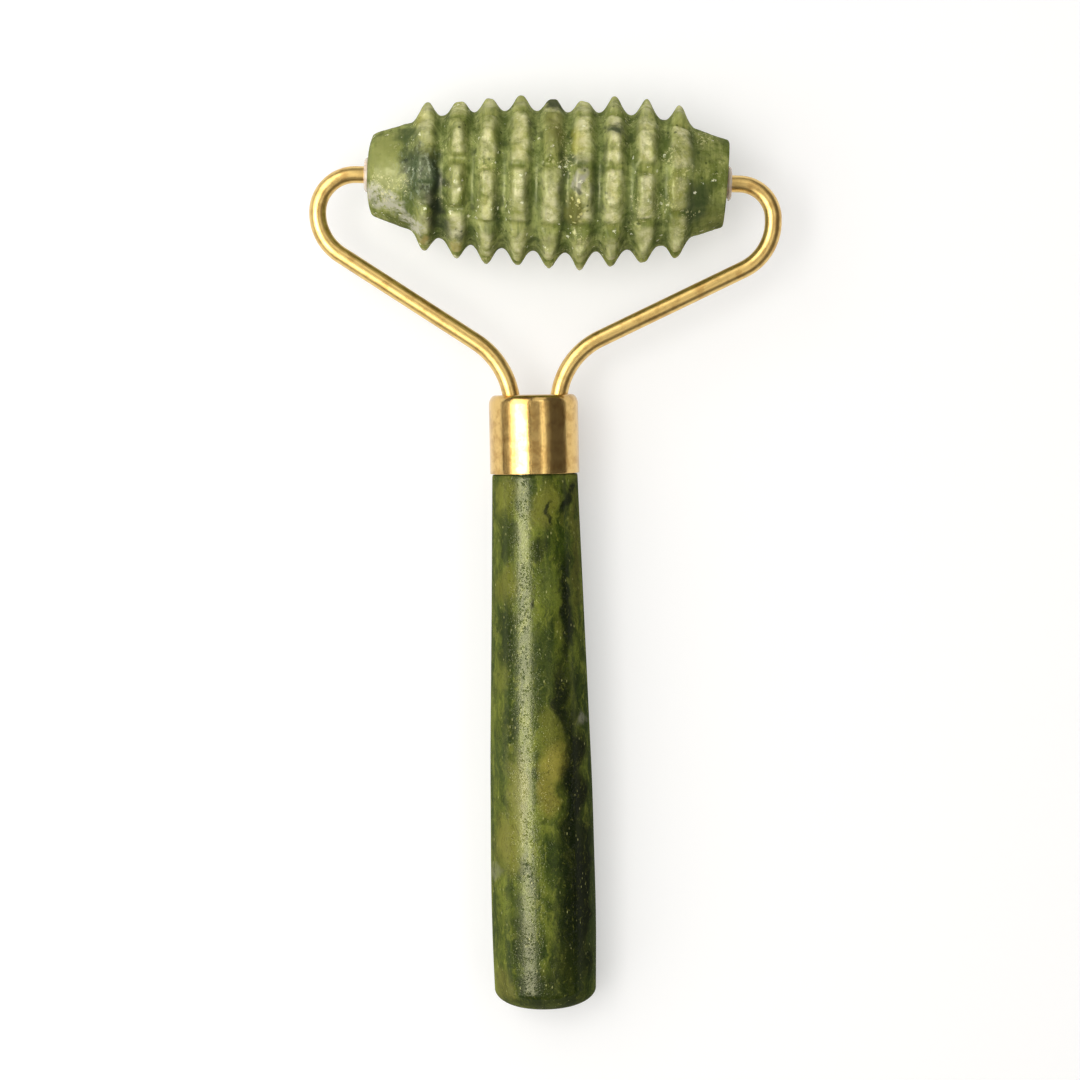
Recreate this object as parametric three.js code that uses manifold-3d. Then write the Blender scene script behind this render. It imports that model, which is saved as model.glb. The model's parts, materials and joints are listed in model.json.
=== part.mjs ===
// Jade face roller, lying face up on a table. Millimetres, +Z up.
//
// The object is drawn flat first: X to the right, Y along the handle from its tail to the
// roller, Z up, with the handle's axis and the wire's centre line both in the plane Z = 0.
// Then the whole object is tipped a little, so that the handle's tail and the roller's
// teeth both touch the table, and moved so that the origin is the bottom centre of its box.

import * as THREE from "three";
import { mergeVertices } from "three/addons/utils/BufferGeometryUtils.js";
import Module from "manifold-3d";

// ---- Driving dimensions -------------------------------------------------------------

const SEGMENTS = 32; // facets round the handle, ferrule, adhesive and roller
const GAP = 0.3; // between a piece and the neighbour that holds it

const handle = {
  length: 87.7, // tail to shoulder
  tailRadius: 8.45, // where the domed tail begins
  bellyRadius: 8.65,
  bellyFromTail: 18,
  taperRadius: 8.42, // from here to the shoulder it narrows evenly
  taperFromTail: 37,
  shoulderRadius: 7.02,
  endFaceRadius: 3.2, // the flat in the middle of the domed tail
  domeLength: 4.6,
  domeSteps: 6,
  spigotTop: 97, // the spigot is the part inside the ferrule
  spigotRadius: 6.55,
  holeRadius: 4.4,
  holeBottom: 76,
  countersinkStart: 91,
  countersinkRadius: 5.6,
};

const ferrule = {
  bottom: 88,
  top: 101,
  outerRadius: 7.35,
  wall: 0.4,
  topThickness: 0.8,
  edgeRadius: 0.75,
  innerEdge: 0.5,
  edgeSteps: 4,
};

const wire = { radius: 1.4, sides: 12, degreesPerStep: 11 };

const roller = {
  centre: [3.14, 136.3],
  skew: THREE.MathUtils.degToRad(-2.585), // its axis against the handle's square
  length: 59.2,
  boreRadius: 2.6,
  ringCount: 9,
  ringPitch: 5.2,
  ringOffset: 0.5, // middle ring from the middle of the stone
  crownOffset: 1.5, // the widest place, from the middle of the stone
  crownRadius: 14,
  barrelDrop: 0.058, // radius lost one pitch away from the crown
  barrelPower: 2.5,
  toothHeight: 2.3,
  tipLand: 1.1,
  valleyFloor: 1.2,
  kneeRadius: 8.4, // where the end cone meets the first ring
  kneeFromEnd: 6.5,
  leftEndRadius: 6.8,
  rightEndRadius: 7.4,
  edgeRadius: 0.5,
  notchCount: 8,
  notchWidth: 1.4,
  notchDepth: 0.75, // share of the tooth height
  notchAngle: THREE.MathUtils.degToRad(-58), // first notch, from the top towards the tail
};

const bush = {
  segments: 24,
  boreRadius: 1.5,
  sleeveRadius: 2.45,
  sleeveLength: 8,
  flangeRadius: 3.3,
  noseRadius: 2.1,
  flangeThickness: 0.8,
  seatGap: 0.1,
};

const axleInStone = 9; // how far each axle reaches into the stone
const legInsideTop = 91; // where the converging legs turn parallel to the handle
const legEnd = 78;

// Corners of each arm's centre line after its axle: [X, Y, bend radius].
const leftArm = {
  axleCorner: -37.88, // along the roller's axis, from the middle of the stone
  axleBend: 6.2,
  corners: [
    [-34.85, 127.1, 8.2],
    [-4.86, 106.9, 13.1],
    [-1.57, legInsideTop, 10],
    [-1.57, legEnd, 0],
  ],
};
const rightArm = {
  axleCorner: 37.04,
  axleBend: 5.7,
  corners: [
    [39.92, 123.1, 8.7],
    [5.78, 107.5, 12],
    [1.94, legInsideTop, 10],
    [1.94, legEnd, 0],
  ],
};

// ---- Materials ----------------------------------------------------------------------

const darkJade = new THREE.MeshStandardMaterial({ color: 0x5a6134, roughness: 0.3 });
const paleJade = new THREE.MeshStandardMaterial({ color: 0x9a9e62, roughness: 0.45 });
const brass = new THREE.MeshStandardMaterial({ color: 0xd8b070, metalness: 1, roughness: 0.22 });
const clearPlastic = new THREE.MeshStandardMaterial({
  color: 0xe8d8cf,
  roughness: 0.25,
  transparent: true,
  opacity: 0.6,
});
const adhesive = new THREE.MeshStandardMaterial({ color: 0xc8b88c, roughness: 0.4 });

// ---- Solids -------------------------------------------------------------------------

const manifoldModule = await Module();
manifoldModule.setup();

function toSolid(geometry) {
  const bare = geometry.clone();
  bare.deleteAttribute("normal");
  bare.deleteAttribute("uv");
  const merged = mergeVertices(bare, 1e-5);
  return new manifoldModule.Manifold(
    new manifoldModule.Mesh({
      numProp: 3,
      vertProperties: new Float32Array(merged.attributes.position.array),
      triVerts: new Uint32Array(merged.index.array),
    })
  );
}

function toGeometry(solid) {
  const mesh = solid.getMesh();
  const geometry = new THREE.BufferGeometry();
  geometry.setAttribute("position", new THREE.BufferAttribute(mesh.vertProperties, 3));
  geometry.setIndex(new THREE.BufferAttribute(mesh.triVerts, 1));
  geometry.computeVertexNormals();
  return geometry;
}

function cut(geometry, tools) {
  let solid = toSolid(geometry);
  for (const tool of tools) solid = solid.subtract(toSolid(tool));
  return toGeometry(solid);
}

function lathe(profile, segments = SEGMENTS, startAngle = 0) {
  const points = profile.map(([radius, height]) => new THREE.Vector2(radius, height));
  return new THREE.LatheGeometry(points, segments, startAngle);
}

// Points along part of an ellipse, as [radius, height] pairs.
function arcPoints(centre, radii, startAngle, endAngle, steps) {
  return Array.from({ length: steps + 1 }, (_, i) => {
    const angle = startAngle + ((endAngle - startAngle) * i) / steps;
    return [centre[0] + radii[0] * Math.cos(angle), centre[1] + radii[1] * Math.sin(angle)];
  });
}

// ---- Handle, ferrule and adhesive ---------------------------------------------------

function handleGeometry() {
  const h = handle;
  return lathe([
    [0, 0],
    ...arcPoints(
      [h.endFaceRadius, h.domeLength],
      [h.tailRadius - h.endFaceRadius, h.domeLength],
      -Math.PI / 2,
      0,
      h.domeSteps
    ),
    [h.bellyRadius, h.bellyFromTail],
    [h.taperRadius, h.taperFromTail],
    [h.shoulderRadius, h.length],
    [h.spigotRadius, h.length],
    [h.spigotRadius, h.spigotTop],
    [h.countersinkRadius, h.spigotTop],
    [h.holeRadius, h.countersinkStart],
    [h.holeRadius, h.holeBottom],
    [0, h.holeBottom],
  ]);
}

function ferruleGeometry() {
  const f = ferrule;
  const innerRadius = f.outerRadius - f.wall;
  const innerTop = f.top - f.topThickness;
  const cup = lathe([
    [0, innerTop],
    [innerRadius - f.innerEdge, innerTop],
    [innerRadius, innerTop - f.innerEdge],
    [innerRadius, f.bottom],
    [f.outerRadius, f.bottom],
    ...arcPoints(
      [f.outerRadius - f.edgeRadius, f.top - f.edgeRadius],
      [f.edgeRadius, f.edgeRadius],
      0,
      Math.PI / 2,
      f.edgeSteps
    ),
    [0, f.top],
  ]);
  return cut(cup, [wireGeometry(leftArm, GAP), wireGeometry(rightArm, GAP)]);
}

function plugGeometry() {
  const holeFill = handle.holeRadius - GAP;
  const mouthFill = handle.countersinkRadius - GAP;
  const capRadius = ferrule.outerRadius - ferrule.wall - GAP;
  const capTop = ferrule.top - ferrule.topThickness - GAP;
  const capBottom = handle.spigotTop + GAP;
  const plug = lathe([
    [0, handle.holeBottom + GAP],
    [holeFill, handle.holeBottom + GAP],
    [holeFill, handle.countersinkStart],
    [mouthFill, capBottom],
    [capRadius, capBottom],
    [capRadius, capTop - ferrule.innerEdge],
    [capRadius - ferrule.innerEdge, capTop],
    [0, capTop],
  ]);
  return cut(plug, [wireGeometry(leftArm, GAP), wireGeometry(rightArm, GAP)]);
}

// ---- Wire arms ----------------------------------------------------------------------

const rollerAxis = new THREE.Vector2(Math.cos(roller.skew), Math.sin(roller.skew));
const rollerCentre = new THREE.Vector2(...roller.centre);

const onRollerAxis = (distance) => rollerCentre.clone().addScaledVector(rollerAxis, distance);

// The bend at a corner: points of the arc that touches both of its straight sides.
function bendPoints(before, corner, after, radius) {
  const inward = corner.clone().sub(before).normalize();
  const outward = after.clone().sub(corner).normalize();
  const turn = Math.atan2(inward.cross(outward), inward.dot(outward));
  const tangentLength = radius * Math.tan(Math.abs(turn) / 2);
  const start = corner.clone().addScaledVector(inward, -tangentLength);
  const toCentre = new THREE.Vector2(-inward.y, inward.x).multiplyScalar(Math.sign(turn) * radius);
  const centre = start.clone().add(toCentre);
  const steps = Math.ceil(THREE.MathUtils.radToDeg(Math.abs(turn)) / wire.degreesPerStep);
  return Array.from({ length: steps + 1 }, (_, i) =>
    start.clone().rotateAround(centre, (turn * i) / steps)
  );
}

function armPoints(arm) {
  const stoneFace = (Math.sign(arm.axleCorner) * roller.length) / 2;
  const axleEnd = onRollerAxis(stoneFace - Math.sign(arm.axleCorner) * axleInStone);
  const corners = [
    { at: onRollerAxis(arm.axleCorner), bend: arm.axleBend },
    ...arm.corners.map(([x, y, bend]) => ({ at: new THREE.Vector2(x, y), bend })),
  ];
  const points = [axleEnd];
  corners.slice(0, -1).forEach((corner, i) => {
    const before = i === 0 ? axleEnd : corners[i - 1].at;
    points.push(...bendPoints(before, corner.at, corners[i + 1].at, corner.bend));
  });
  points.push(corners.at(-1).at);
  return points.map((point) => new THREE.Vector3(point.x, point.y, 0));
}

// A route that is sampled at its own points: one step along each straight stretch and
// short steps round each bend.
class PointRoute extends THREE.Curve {
  constructor(points) {
    super();
    this.points = points;
  }

  index(u) {
    return Math.round(u * (this.points.length - 1));
  }

  getPoint(u, target = new THREE.Vector3()) {
    return target.copy(this.points[this.index(u)]);
  }

  getPointAt(u, target) {
    return this.getPoint(u, target);
  }

  getTangentAt(u, target = new THREE.Vector3()) {
    const i = this.index(u);
    const last = this.points.length - 1;
    const incoming = this.points[Math.max(i, 1)].clone().sub(this.points[Math.max(i, 1) - 1]);
    const outgoing = this.points[Math.min(i + 1, last)].clone().sub(this.points[Math.min(i, last - 1)]);
    return target.addVectors(incoming.normalize(), outgoing.normalize()).normalize();
  }
}

function wireGeometry(arm, extraRadius = 0) {
  const points = armPoints(arm);
  const section = new THREE.Shape(
    Array.from({ length: wire.sides }, (_, i) => {
      const angle = (2 * Math.PI * (i + 0.5)) / wire.sides;
      const radius = wire.radius + extraRadius;
      return new THREE.Vector2(radius * Math.cos(angle), radius * Math.sin(angle));
    })
  );
  return new THREE.ExtrudeGeometry(section, {
    steps: points.length - 1,
    extrudePath: new PointRoute(points),
  });
}

// ---- Roller -------------------------------------------------------------------------

const ringPosition = (i) => roller.ringOffset + (i - (roller.ringCount - 1) / 2) * roller.ringPitch;

// Radius of the barrel that the tooth tips touch, at a place along the axis.
function barrelRadius(x) {
  const pitchesFromCrown = Math.abs(x - roller.crownOffset) / roller.ringPitch;
  return roller.crownRadius - roller.barrelDrop * pitchesFromCrown ** roller.barrelPower;
}

function rollerProfile() {
  const r = roller;
  const half = r.length / 2;
  const rings = [];
  for (let i = 0; i < r.ringCount; i++) {
    const x = ringPosition(i);
    const tip = barrelRadius(x);
    rings.push([tip, x - r.tipLand / 2], [tip, x + r.tipLand / 2]);
    if (i < r.ringCount - 1) {
      const middle = x + r.ringPitch / 2;
      const floor = barrelRadius(middle) - r.toothHeight;
      rings.push([floor, middle - r.valleyFloor / 2], [floor, middle + r.valleyFloor / 2]);
    }
  }
  return [
    [r.boreRadius, -half],
    [r.leftEndRadius - r.edgeRadius, -half],
    [r.leftEndRadius, -half + r.edgeRadius],
    [r.kneeRadius, -half + r.kneeFromEnd],
    ...rings,
    [r.kneeRadius, half - r.kneeFromEnd],
    [r.rightEndRadius, half - r.edgeRadius],
    [r.rightEndRadius - r.edgeRadius, half],
    [r.boreRadius, half],
    [r.boreRadius, -half],
  ];
}

// A lengthwise cutter whose floor follows the barrel, drawn with X along the axis and
// Y outward, as thick as the notch is wide.
function notchCutter(angle) {
  const r = roller;
  const clear = r.crownRadius + 1;
  const floor = [];
  for (let i = 0; i < r.ringCount; i++) {
    floor.push([ringPosition(i), barrelRadius(ringPosition(i)) - r.notchDepth * r.toothHeight]);
  }
  const start = ringPosition(0) - r.ringPitch / 2;
  const end = ringPosition(r.ringCount - 1) + r.ringPitch / 2;
  const outline = [[start, clear], [start, floor[0][1]], ...floor, [end, floor.at(-1)[1]], [end, clear]];
  const geometry = new THREE.ExtrudeGeometry(
    new THREE.Shape(outline.map(([x, y]) => new THREE.Vector2(x, y))),
    { depth: r.notchWidth, bevelEnabled: false }
  );
  geometry.translate(0, 0, -r.notchWidth / 2);
  geometry.rotateX(Math.PI / 2 + angle);
  return geometry;
}

function rollerGeometry() {
  const facet = (2 * Math.PI) / SEGMENTS;
  // Half a facet round from the first notch, so that each notch lies within one facet.
  const stone = lathe(rollerProfile(), SEGMENTS, roller.notchAngle + facet / 2);
  stone.rotateZ(-Math.PI / 2);
  const notches = Array.from({ length: roller.notchCount }, (_, i) =>
    notchCutter(roller.notchAngle + (2 * Math.PI * i) / roller.notchCount)
  );
  return cut(stone, notches);
}

// A flanged sleeve along +X, its flange against the face at X = 0 and its nose at -X.
function bushGeometry() {
  const b = bush;
  const flange = arcPoints(
    [b.noseRadius, -b.seatGap],
    [b.flangeRadius - b.noseRadius, b.flangeThickness],
    -Math.PI / 2,
    0,
    4
  );
  const geometry = lathe(
    [
      [b.boreRadius, -b.seatGap - b.flangeThickness],
      ...flange,
      [b.sleeveRadius, -b.seatGap],
      [b.sleeveRadius, b.sleeveLength],
      [b.boreRadius, b.sleeveLength],
      [b.boreRadius, -b.seatGap - b.flangeThickness],
    ],
    b.segments
  );
  return geometry.rotateZ(-Math.PI / 2);
}

// ---- Assembly -----------------------------------------------------------------------

function piece(name, geometry, material) {
  const mesh = new THREE.Mesh(geometry, material);
  mesh.name = name;
  return mesh;
}

const flatObject = new THREE.Group();
flatObject.add(
  piece("handle", handleGeometry(), darkJade),
  piece("ferrule", ferruleGeometry(), brass),
  piece("epoxy_plug", plugGeometry(), adhesive),
  piece("left_arm", wireGeometry(leftArm), brass),
  piece("right_arm", wireGeometry(rightArm), brass)
);

// Everything that spins, drawn with the roller's axis along X and the stone's middle at 0.
const spinning = new THREE.Group();
const leftBush = piece("left_bush", bushGeometry(), clearPlastic);
leftBush.position.x = -roller.length / 2;
const rightBush = piece("right_bush", bushGeometry(), clearPlastic);
rightBush.position.x = roller.length / 2;
rightBush.rotation.z = Math.PI;
spinning.add(piece("roller", rollerGeometry(), paleJade), leftBush, rightBush);
spinning.position.set(...roller.centre, 0);
spinning.rotation.z = roller.skew;
flatObject.add(spinning);

// Tipped so that the thick end of the handle and the teeth of the roller rest on one plane.
const restLength = roller.centre[1] - handle.domeLength;
flatObject.rotation.x = Math.asin((roller.crownRadius - handle.tailRadius) / restLength);

const faceRoller = new THREE.Group();
faceRoller.add(flatObject);
faceRoller.updateMatrixWorld(true);
const box = new THREE.Box3().setFromObject(faceRoller, true);
const middle = box.getCenter(new THREE.Vector3());
flatObject.position.set(-middle.x, -middle.y, -box.min.z);

export default faceRoller;
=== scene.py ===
import json
import math

import bpy
import numpy as np
from mathutils import Matrix, Vector

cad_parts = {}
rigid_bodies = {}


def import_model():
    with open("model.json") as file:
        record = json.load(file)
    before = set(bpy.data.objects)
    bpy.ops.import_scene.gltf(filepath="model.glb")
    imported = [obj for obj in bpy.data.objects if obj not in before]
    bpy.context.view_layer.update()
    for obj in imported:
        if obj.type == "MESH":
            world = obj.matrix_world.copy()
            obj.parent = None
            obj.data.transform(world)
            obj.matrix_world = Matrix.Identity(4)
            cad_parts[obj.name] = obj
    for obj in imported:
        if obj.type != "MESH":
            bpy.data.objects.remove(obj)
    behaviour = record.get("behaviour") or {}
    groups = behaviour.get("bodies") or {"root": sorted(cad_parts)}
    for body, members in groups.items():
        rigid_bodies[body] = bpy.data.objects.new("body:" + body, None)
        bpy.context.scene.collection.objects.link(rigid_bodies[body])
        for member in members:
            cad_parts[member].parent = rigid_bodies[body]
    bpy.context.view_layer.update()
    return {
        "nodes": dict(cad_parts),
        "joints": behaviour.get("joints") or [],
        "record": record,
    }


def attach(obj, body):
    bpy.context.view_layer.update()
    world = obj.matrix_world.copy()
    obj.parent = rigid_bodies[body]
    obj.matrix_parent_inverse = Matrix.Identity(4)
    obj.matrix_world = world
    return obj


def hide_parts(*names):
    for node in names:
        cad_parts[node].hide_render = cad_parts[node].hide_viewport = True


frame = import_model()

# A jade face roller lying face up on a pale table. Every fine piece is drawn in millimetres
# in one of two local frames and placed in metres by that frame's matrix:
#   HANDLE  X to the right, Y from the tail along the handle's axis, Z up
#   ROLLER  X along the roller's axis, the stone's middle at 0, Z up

MM = 0.001
tail_face = next(m for m in frame["record"]["mounts"] if m["name"] == "tail_face")
spin_joint = frame["joints"][0]
FRAME_BODY = spin_joint["parent"]
ROLLER_BODY = spin_joint["child"]


def local_frame(origin, x_axis, y_axis):
    """Matrix from millimetres in a local frame to metres in the row's frame."""
    x_axis, y_axis = Vector(x_axis), Vector(y_axis)
    z_axis = x_axis.cross(y_axis).normalized()
    y_axis = z_axis.cross(x_axis)
    matrix = Matrix((x_axis * MM, y_axis * MM, z_axis * MM)).transposed().to_4x4()
    matrix.translation = Vector(origin)
    return matrix


handle_direction = -Vector(tail_face["axis"])
HANDLE = local_frame(tail_face["pos_m"], (1, 0, 0), handle_direction)
ROLLER = local_frame(spin_joint["pos_m"], spin_joint["axis"], handle_direction)

# ---- Mesh helpers -------------------------------------------------------------------


def new_piece(name, points, faces, place, body, replaces, sharp_angle=40):
    """Makes a mesh object from points in millimetres, puts it in its body and hides the CAD part it
    replaces.
    """
    matrix = np.array(place)
    world = np.asarray(points) @ matrix[:3, :3].T + matrix[:3, 3]
    mesh = bpy.data.meshes.new(name)
    mesh.from_pydata(world.tolist(), [], faces)
    mesh.shade_smooth()
    mesh.set_sharp_from_angle(angle=math.radians(sharp_angle))
    piece = bpy.data.objects.new(name, mesh)
    bpy.context.collection.objects.link(piece)
    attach(piece, body)
    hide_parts(replaces)
    return piece


def store(piece, name, values):
    """Keeps one number per vertex on the mesh, for the material to read."""
    piece.data.attributes.new(name, "FLOAT", "POINT").data.foreach_set("value", values)


def grid_faces(rows, columns, close_rows):
    """Quads of a tube of rings: its columns always close, its rows only if asked."""
    faces = []
    for i in range(rows if close_rows else rows - 1):
        below, above = i * columns, ((i + 1) % rows) * columns
        for j in range(columns):
            k = (j + 1) % columns
            faces.append((below + j, below + k, above + k, above + j))
    return faces


def turned(outline, sides, along_x=False):
    """A turned solid from an outline of (radius, place along the axis) points.

    The outline closes on itself, or starts and ends on the axis. Its outer wall is drawn
    towards the axis's positive end. Angle 0 is up, and the angle grows towards +X round
    the handle's axis, or towards the tail round the roller's axis.
    """
    outline = np.array(outline, dtype=float)
    open_ended = outline[0][0] == 0
    rings = outline[1:-1] if open_ended else outline
    angles = np.arange(sides) * (2 * math.pi / sides)
    radius = rings[:, 0][:, None]
    across = radius * np.sin(angles)
    up = radius * np.cos(angles)
    along = np.broadcast_to(rings[:, 1][:, None], across.shape)
    layers = (along, -across, up) if along_x else (across, along, up)
    points = np.stack(layers, axis=-1).reshape(-1, 3).tolist()
    faces = grid_faces(len(rings), sides, close_rows=not open_ended)
    if open_ended:
        first, last = len(points), len(points) + 1
        top = (len(rings) - 1) * sides
        points += [[0, outline[0][1], 0], [0, outline[-1][1], 0]]
        for j in range(sides):
            k = (j + 1) % sides
            faces.append((first, k, j))
            faces.append((last, top + j, top + k))
    return points, faces


def arc(centre, radii, start, end, steps):
    """Points along part of an ellipse, angles in degrees."""
    angles = np.radians(np.linspace(start, end, steps + 1))
    return [
        (centre[0] + radii[0] * math.cos(a), centre[1] + radii[1] * math.sin(a)) for a in angles
    ]


OCTAVES = 4
WAVES = 10  # added up in each octave
OCTAVE_FINER = 1.9
OCTAVE_WEAKER = 1.6
WAVE_GAIN = 1.6  # brings the sum to about -1 to 1


def wave(points, scale, seed):
    """Smooth noise between about -1 and 1 at each point, the same on every run."""
    random = np.random.default_rng(seed)
    total = np.zeros(len(points))
    for octave in range(OCTAVES):
        waves = random.normal(size=(WAVES, 3)) / scale * OCTAVE_FINER**octave
        phases = random.uniform(0, 2 * math.pi, WAVES)
        total += np.sin(points @ waves.T + phases).mean(axis=1) / OCTAVE_WEAKER**octave
    return total * WAVE_GAIN


# ---- Materials ----------------------------------------------------------------------

OILY = (1, 0.97, 0.72, 1)  # tint of the shine on the waxed stone
PATCH_SOFTNESS = 0.5


def paint(code):
    """Linear colour of a six-digit hex code."""
    channels = [int(code[i : i + 2], 16) / 255 for i in (0, 2, 4)]
    return (*(c / 12.92 if c < 0.04045 else ((c + 0.055) / 1.055) ** 2.4 for c in channels), 1)


class Surface:
    """One node material, with short calls that add nodes and join them."""

    def __init__(self, name, **plain):
        self.material = bpy.data.materials.new(name)
        self.material.use_nodes = True
        self.tree = self.material.node_tree
        self.shader = self.tree.nodes["Principled BSDF"]
        self.here = self.add("ShaderNodeTexCoord").outputs["Object"]
        for socket, value in plain.items():
            self.shader.inputs[socket.replace("_", " ")].default_value = value

    def add(self, kind, inputs=None, **settings):
        """A new node with its settings, its inputs linked to sockets or set to values."""
        node = self.tree.nodes.new(kind)
        for key, value in settings.items():
            setattr(node, key, value)
        for key, value in (inputs or {}).items():
            if isinstance(value, bpy.types.NodeSocket):
                self.tree.links.new(value, node.inputs[key])
            else:
                node.inputs[key].default_value = value
        return node

    def set(self, socket, value):
        """Links a value to one of the shader's own sockets."""
        self.tree.links.new(value, self.shader.inputs[socket])

    def read(self, name):
        """The number that store kept on the mesh."""
        return self.add("ShaderNodeAttribute", attribute_name=name).outputs["Fac"]

    def read_vector(self, name):
        """The vector that store_vector kept on the mesh."""
        return self.add("ShaderNodeAttribute", attribute_name=name).outputs["Vector"]

    def math(self, operation, a, b=0.0):
        return self.add("ShaderNodeMath", {0: a, 1: b}, operation=operation).outputs[0]

    def mix(self, amount, a, b):
        """Colour a, turned into colour b by amount."""
        inputs = {0: amount, 6: a, 7: b}  # the node's factor and its two colour sockets
        return self.add("ShaderNodeMix", inputs, data_type="RGBA").outputs[2]

    def fit(self, value, low, high, to_low=0.0, to_high=1.0):
        """Smooth step: value from low to high becomes to_low to to_high."""
        inputs = {0: value, 1: low, 2: high, 3: to_low, 4: to_high}
        return self.add("ShaderNodeMapRange", inputs, interpolation_type="SMOOTHSTEP").outputs[0]

    def stretch(self, vector, scale):
        """The place, scaled along each axis. Below 1 draws a texture out along it."""
        return self.add("ShaderNodeMapping", {"Vector": vector, "Scale": scale}).outputs[0]

    def noise(self, scale, detail, rough, vector=None, distortion=0.0):
        """Cloudy noise, 0.5 on average."""
        inputs = {
            "Vector": vector or self.here,
            "Scale": scale,
            "Detail": detail,
            "Roughness": rough,
            "Distortion": distortion,
        }
        return self.add("ShaderNodeTexNoise", inputs).outputs["Fac"]

    def spots(self, scale, size, vector=None):
        """1 inside small round spots scattered at random, 0 between them."""
        inputs = {"Vector": vector or self.here, "Scale": scale}
        cells = self.add("ShaderNodeTexVoronoi", inputs)
        return self.fit(cells.outputs["Distance"], size, size * 0.5)

    def shaken(self, amount, scale):
        """The place, pushed about by noise, so that a patch gets a ragged edge."""
        inputs = {"Vector": self.here, "Scale": scale, "Detail": 4.0}
        push = self.add("ShaderNodeTexNoise", inputs).outputs["Color"]
        half = self.add("ShaderNodeVectorMath", {0: push, 1: (0.5, 0.5, 0.5)}, operation="SUBTRACT")
        inputs = {0: half.outputs[0], "Scale": amount}
        scaled = self.add("ShaderNodeVectorMath", inputs, operation="SCALE")
        inputs = {0: self.here, 1: scaled.outputs[0]}
        return self.add("ShaderNodeVectorMath", inputs, operation="ADD").outputs[0]

    def patch(self, place, centre, radii, vector, soft):
        """1 inside an ellipsoid, fading to 0 outside. Centre and radii in millimetres."""
        middle = place @ Vector(centre)
        inputs = {0: vector, 1: middle}
        offset = self.add("ShaderNodeVectorMath", inputs, operation="SUBTRACT")
        inputs = {0: offset.outputs[0], 1: [r * MM for r in radii]}
        scaled = self.add("ShaderNodeVectorMath", inputs, operation="DIVIDE")
        length = self.add("ShaderNodeVectorMath", {0: scaled.outputs[0]}, operation="LENGTH")
        return self.fit(length.outputs["Value"], 1 + soft, 1 - soft)

    def stain_and_shade(self, colour, place, patches, vector):
        """The colour with every patch of a table mixed in, one after another."""
        for centre, radii, strength, code in patches:
            mask = self.patch(place, centre, radii, vector, PATCH_SOFTNESS)
            colour = self.mix(self.math("MULTIPLY", mask, strength), colour, paint(code))
        return colour

    def dull_rim(self, roughness):
        """The roughness, raised where the surface turns away, so the rim stays dark."""
        facing = self.add("ShaderNodeLayerWeight").outputs["Facing"]
        return self.math("MAXIMUM", roughness, self.fit(facing, 0.12, 0.42))

    def bump(self, height, distance, strength, under=None):
        """Bumps the surface, distance in millimetres, on top of an earlier bump if given."""
        inputs = {"Height": height, "Distance": distance * MM, "Strength": strength}
        if under:
            inputs["Normal"] = under
        normal = self.add("ShaderNodeBump", inputs).outputs[0]
        self.set("Normal", normal)
        return normal


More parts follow.
